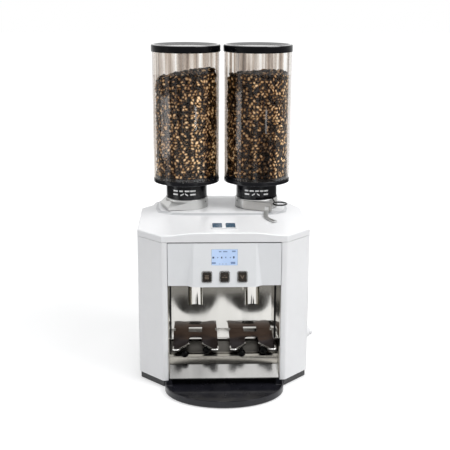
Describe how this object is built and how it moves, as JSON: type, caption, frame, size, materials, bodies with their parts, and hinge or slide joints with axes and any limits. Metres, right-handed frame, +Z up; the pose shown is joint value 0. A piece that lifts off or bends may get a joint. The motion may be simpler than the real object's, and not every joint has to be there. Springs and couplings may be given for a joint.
{
  "type": "electric coffee grinder",
  "caption": "Table-top electric coffee grinder with side-by-side clear bean hoppers, flat burr grinders, spouts over portafilter forks, push buttons and a pull-out grounds tray.",
  "frame": {"origin": "under the middle of the overall box, at the level that the feet stand on", "axes": "+Z up, +Y towards the rear, +X to the right as seen from the front"},
  "size_m": [0.3212, 0.394, 0.603],
  "materials": {
    "white_paint": "smooth gloss white powder coat",
    "fascia_paint": "smooth light grey-white paint",
    "black_plastic": "moulded black plastic",
    "gloss_black": "gloss dark button cap",
    "black_rubber": "matt rubber",
    "polished_steel": "polished stainless steel",
    "chrome": "bright plated",
    "brushed_steel": "brushed stainless steel",
    "satin_aluminium": "satin cast and turned aluminium",
    "burr_steel": "ground hardened steel",
    "cast_metal": "as cast aluminium",
    "clear_acrylic": "clear acrylic tube",
    "screen_blue": "backlit light blue display",
    "slate_plastic": "slate blue rocker",
    "board_green": "circuit board laminate",
    "roasted_beans": "dark roasted coffee beans",
    "motor_paint": "dark painted motor drum"
  },
  "bodies": {
    "housing": {"base_plinth": "black_plastic", "bay_liner": "polished_steel", "button_rim_left": "chrome", "button_rim_middle": "chrome", "button_rim_right": "chrome", "chassis": "brushed_steel", "control_board": "board_green", "display_window": "screen_blue", "foot_front_left": "black_rubber", "foot_front_right": "black_rubber", "foot_rear_left": "black_rubber", "foot_rear_right": "black_rubber", "fork_left": "polished_steel", "fork_right": "polished_steel", "front_fascia": "fascia_paint", "grind_chamber_left": "cast_metal", "grind_chamber_right": "cast_metal", "mains_inlet": "black_plastic", "mains_toggle_boot": "white_paint", "motor_left": "motor_paint", "motor_right": "motor_paint", "rear_panel": "white_paint", "rocker_frame": "white_paint", "side_panel_left": "white_paint", "side_panel_right": "white_paint", "spill_apron": "polished_steel", "spout_left": "chrome", "spout_right": "chrome", "stop_long_left": "gloss_black", "stop_long_right": "gloss_black", "stop_short_left": "gloss_black", "stop_short_right": "gloss_black", "top_cover": "white_paint"},
    "collar_left": {"adjust_collar_left": "satin_aluminium", "upper_burr_left": "burr_steel", "hopper_base_left": "black_plastic", "hopper_tube_left": "clear_acrylic", "beans_left": "roasted_beans"},
    "collar_right": {"adjust_collar_right": "satin_aluminium", "adjust_lever": "brushed_steel", "lever_pointer": "brushed_steel", "upper_burr_right": "burr_steel", "hopper_base_right": "black_plastic", "hopper_tube_right": "clear_acrylic", "beans_right": "roasted_beans"},
    "gate_left": {"hopper_gate_left": "black_plastic"},
    "gate_right": {"hopper_gate_right": "black_plastic"},
    "lid_left": {"hopper_lid_left": "black_plastic"},
    "lid_right": {"hopper_lid_right": "black_plastic"},
    "burr_left": {"lower_burr_left": "burr_steel", "burr_carrier_left": "brushed_steel"},
    "burr_right": {"lower_burr_right": "burr_steel", "burr_carrier_right": "brushed_steel"},
    "button_left": {"button_left": "gloss_black"},
    "button_middle": {"button_middle": "gloss_black"},
    "button_right": {"button_right": "gloss_black"},
    "rocker_left": {"rocker_left": "slate_plastic"},
    "rocker_right": {"rocker_right": "slate_plastic"},
    "toggle": {"mains_toggle": "white_paint"},
    "tray": {"grounds_tray": "gloss_black"}
  },
  "joints": [
    {"name": "collar_left_turn", "type": "hinge", "parent": "housing", "child": "collar_left", "pos_m": [-0.07264, 0.079, 0.30675], "axis": [0, 0, 1], "range_deg": [-20, 20]},
    {"name": "collar_right_turn", "type": "hinge", "parent": "housing", "child": "collar_right", "pos_m": [0.06136, 0.079, 0.30675], "axis": [0, 0, 1], "range_deg": [-20, 6]},
    {"name": "gate_left_slide", "type": "slide", "parent": "collar_left", "child": "gate_left", "axis": [-0.0872, 0.9962, 0], "range_m": [0, 0.05]},
    {"name": "gate_right_slide", "type": "slide", "parent": "collar_right", "child": "gate_right", "axis": [0.6691, -0.7431, 0], "range_m": [0, 0.05]},
    {"name": "lid_left_lift", "type": "slide", "parent": "collar_left", "child": "lid_left", "axis": [0, 0, 1], "range_m": [0, 0.05]},
    {"name": "burr_left_spin", "type": "hinge", "parent": "housing", "child": "burr_left", "pos_m": [-0.07264, 0.079, 0.236], "axis": [0, 0, 1], "continuous": true},
    {"name": "lid_right_lift", "type": "slide", "parent": "collar_right", "child": "lid_right", "axis": [0, 0, 1], "range_m": [0, 0.05]},
    {"name": "burr_right_spin", "type": "hinge", "parent": "housing", "child": "burr_right", "pos_m": [0.06136, 0.079, 0.236], "axis": [0, 0, 1], "continuous": true},
    {"name": "button_left_press", "type": "slide", "parent": "housing", "child": "button_left", "axis": [0, 0.9933, -0.1157], "range_m": [0, 0.0015], "stiffness_N_per_m": 400, "springref_m": -0.0005},
    {"name": "button_middle_press", "type": "slide", "parent": "housing", "child": "button_middle", "axis": [0, 0.9933, -0.1157], "range_m": [0, 0.0015], "stiffness_N_per_m": 400, "springref_m": -0.0005},
    {"name": "button_right_press", "type": "slide", "parent": "housing", "child": "button_right", "axis": [0, 0.9933, -0.1157], "range_m": [0, 0.0015], "stiffness_N_per_m": 400, "springref_m": -0.0005},
    {"name": "rocker_left_tip", "type": "hinge", "parent": "housing", "child": "rocker_left", "pos_m": [-0.01754, -0.064, 0.2897], "axis": [1, 0, 0], "range_deg": [-14, 0]},
    {"name": "rocker_right_tip", "type": "hinge", "parent": "housing", "child": "rocker_right", "pos_m": [0.00626, -0.064, 0.2897], "axis": [1, 0, 0], "range_deg": [-14, 0]},
    {"name": "toggle_tip", "type": "hinge", "parent": "housing", "child": "toggle", "pos_m": [0.14836, -0.043, 0.084], "axis": [0, 1, 0], "range_deg": [-20, 0]},
    {"name": "tray_pull", "type": "slide", "parent": "housing", "child": "tray", "axis": [0, -1, 0], "range_m": [0, 0.12]}
  ]
}
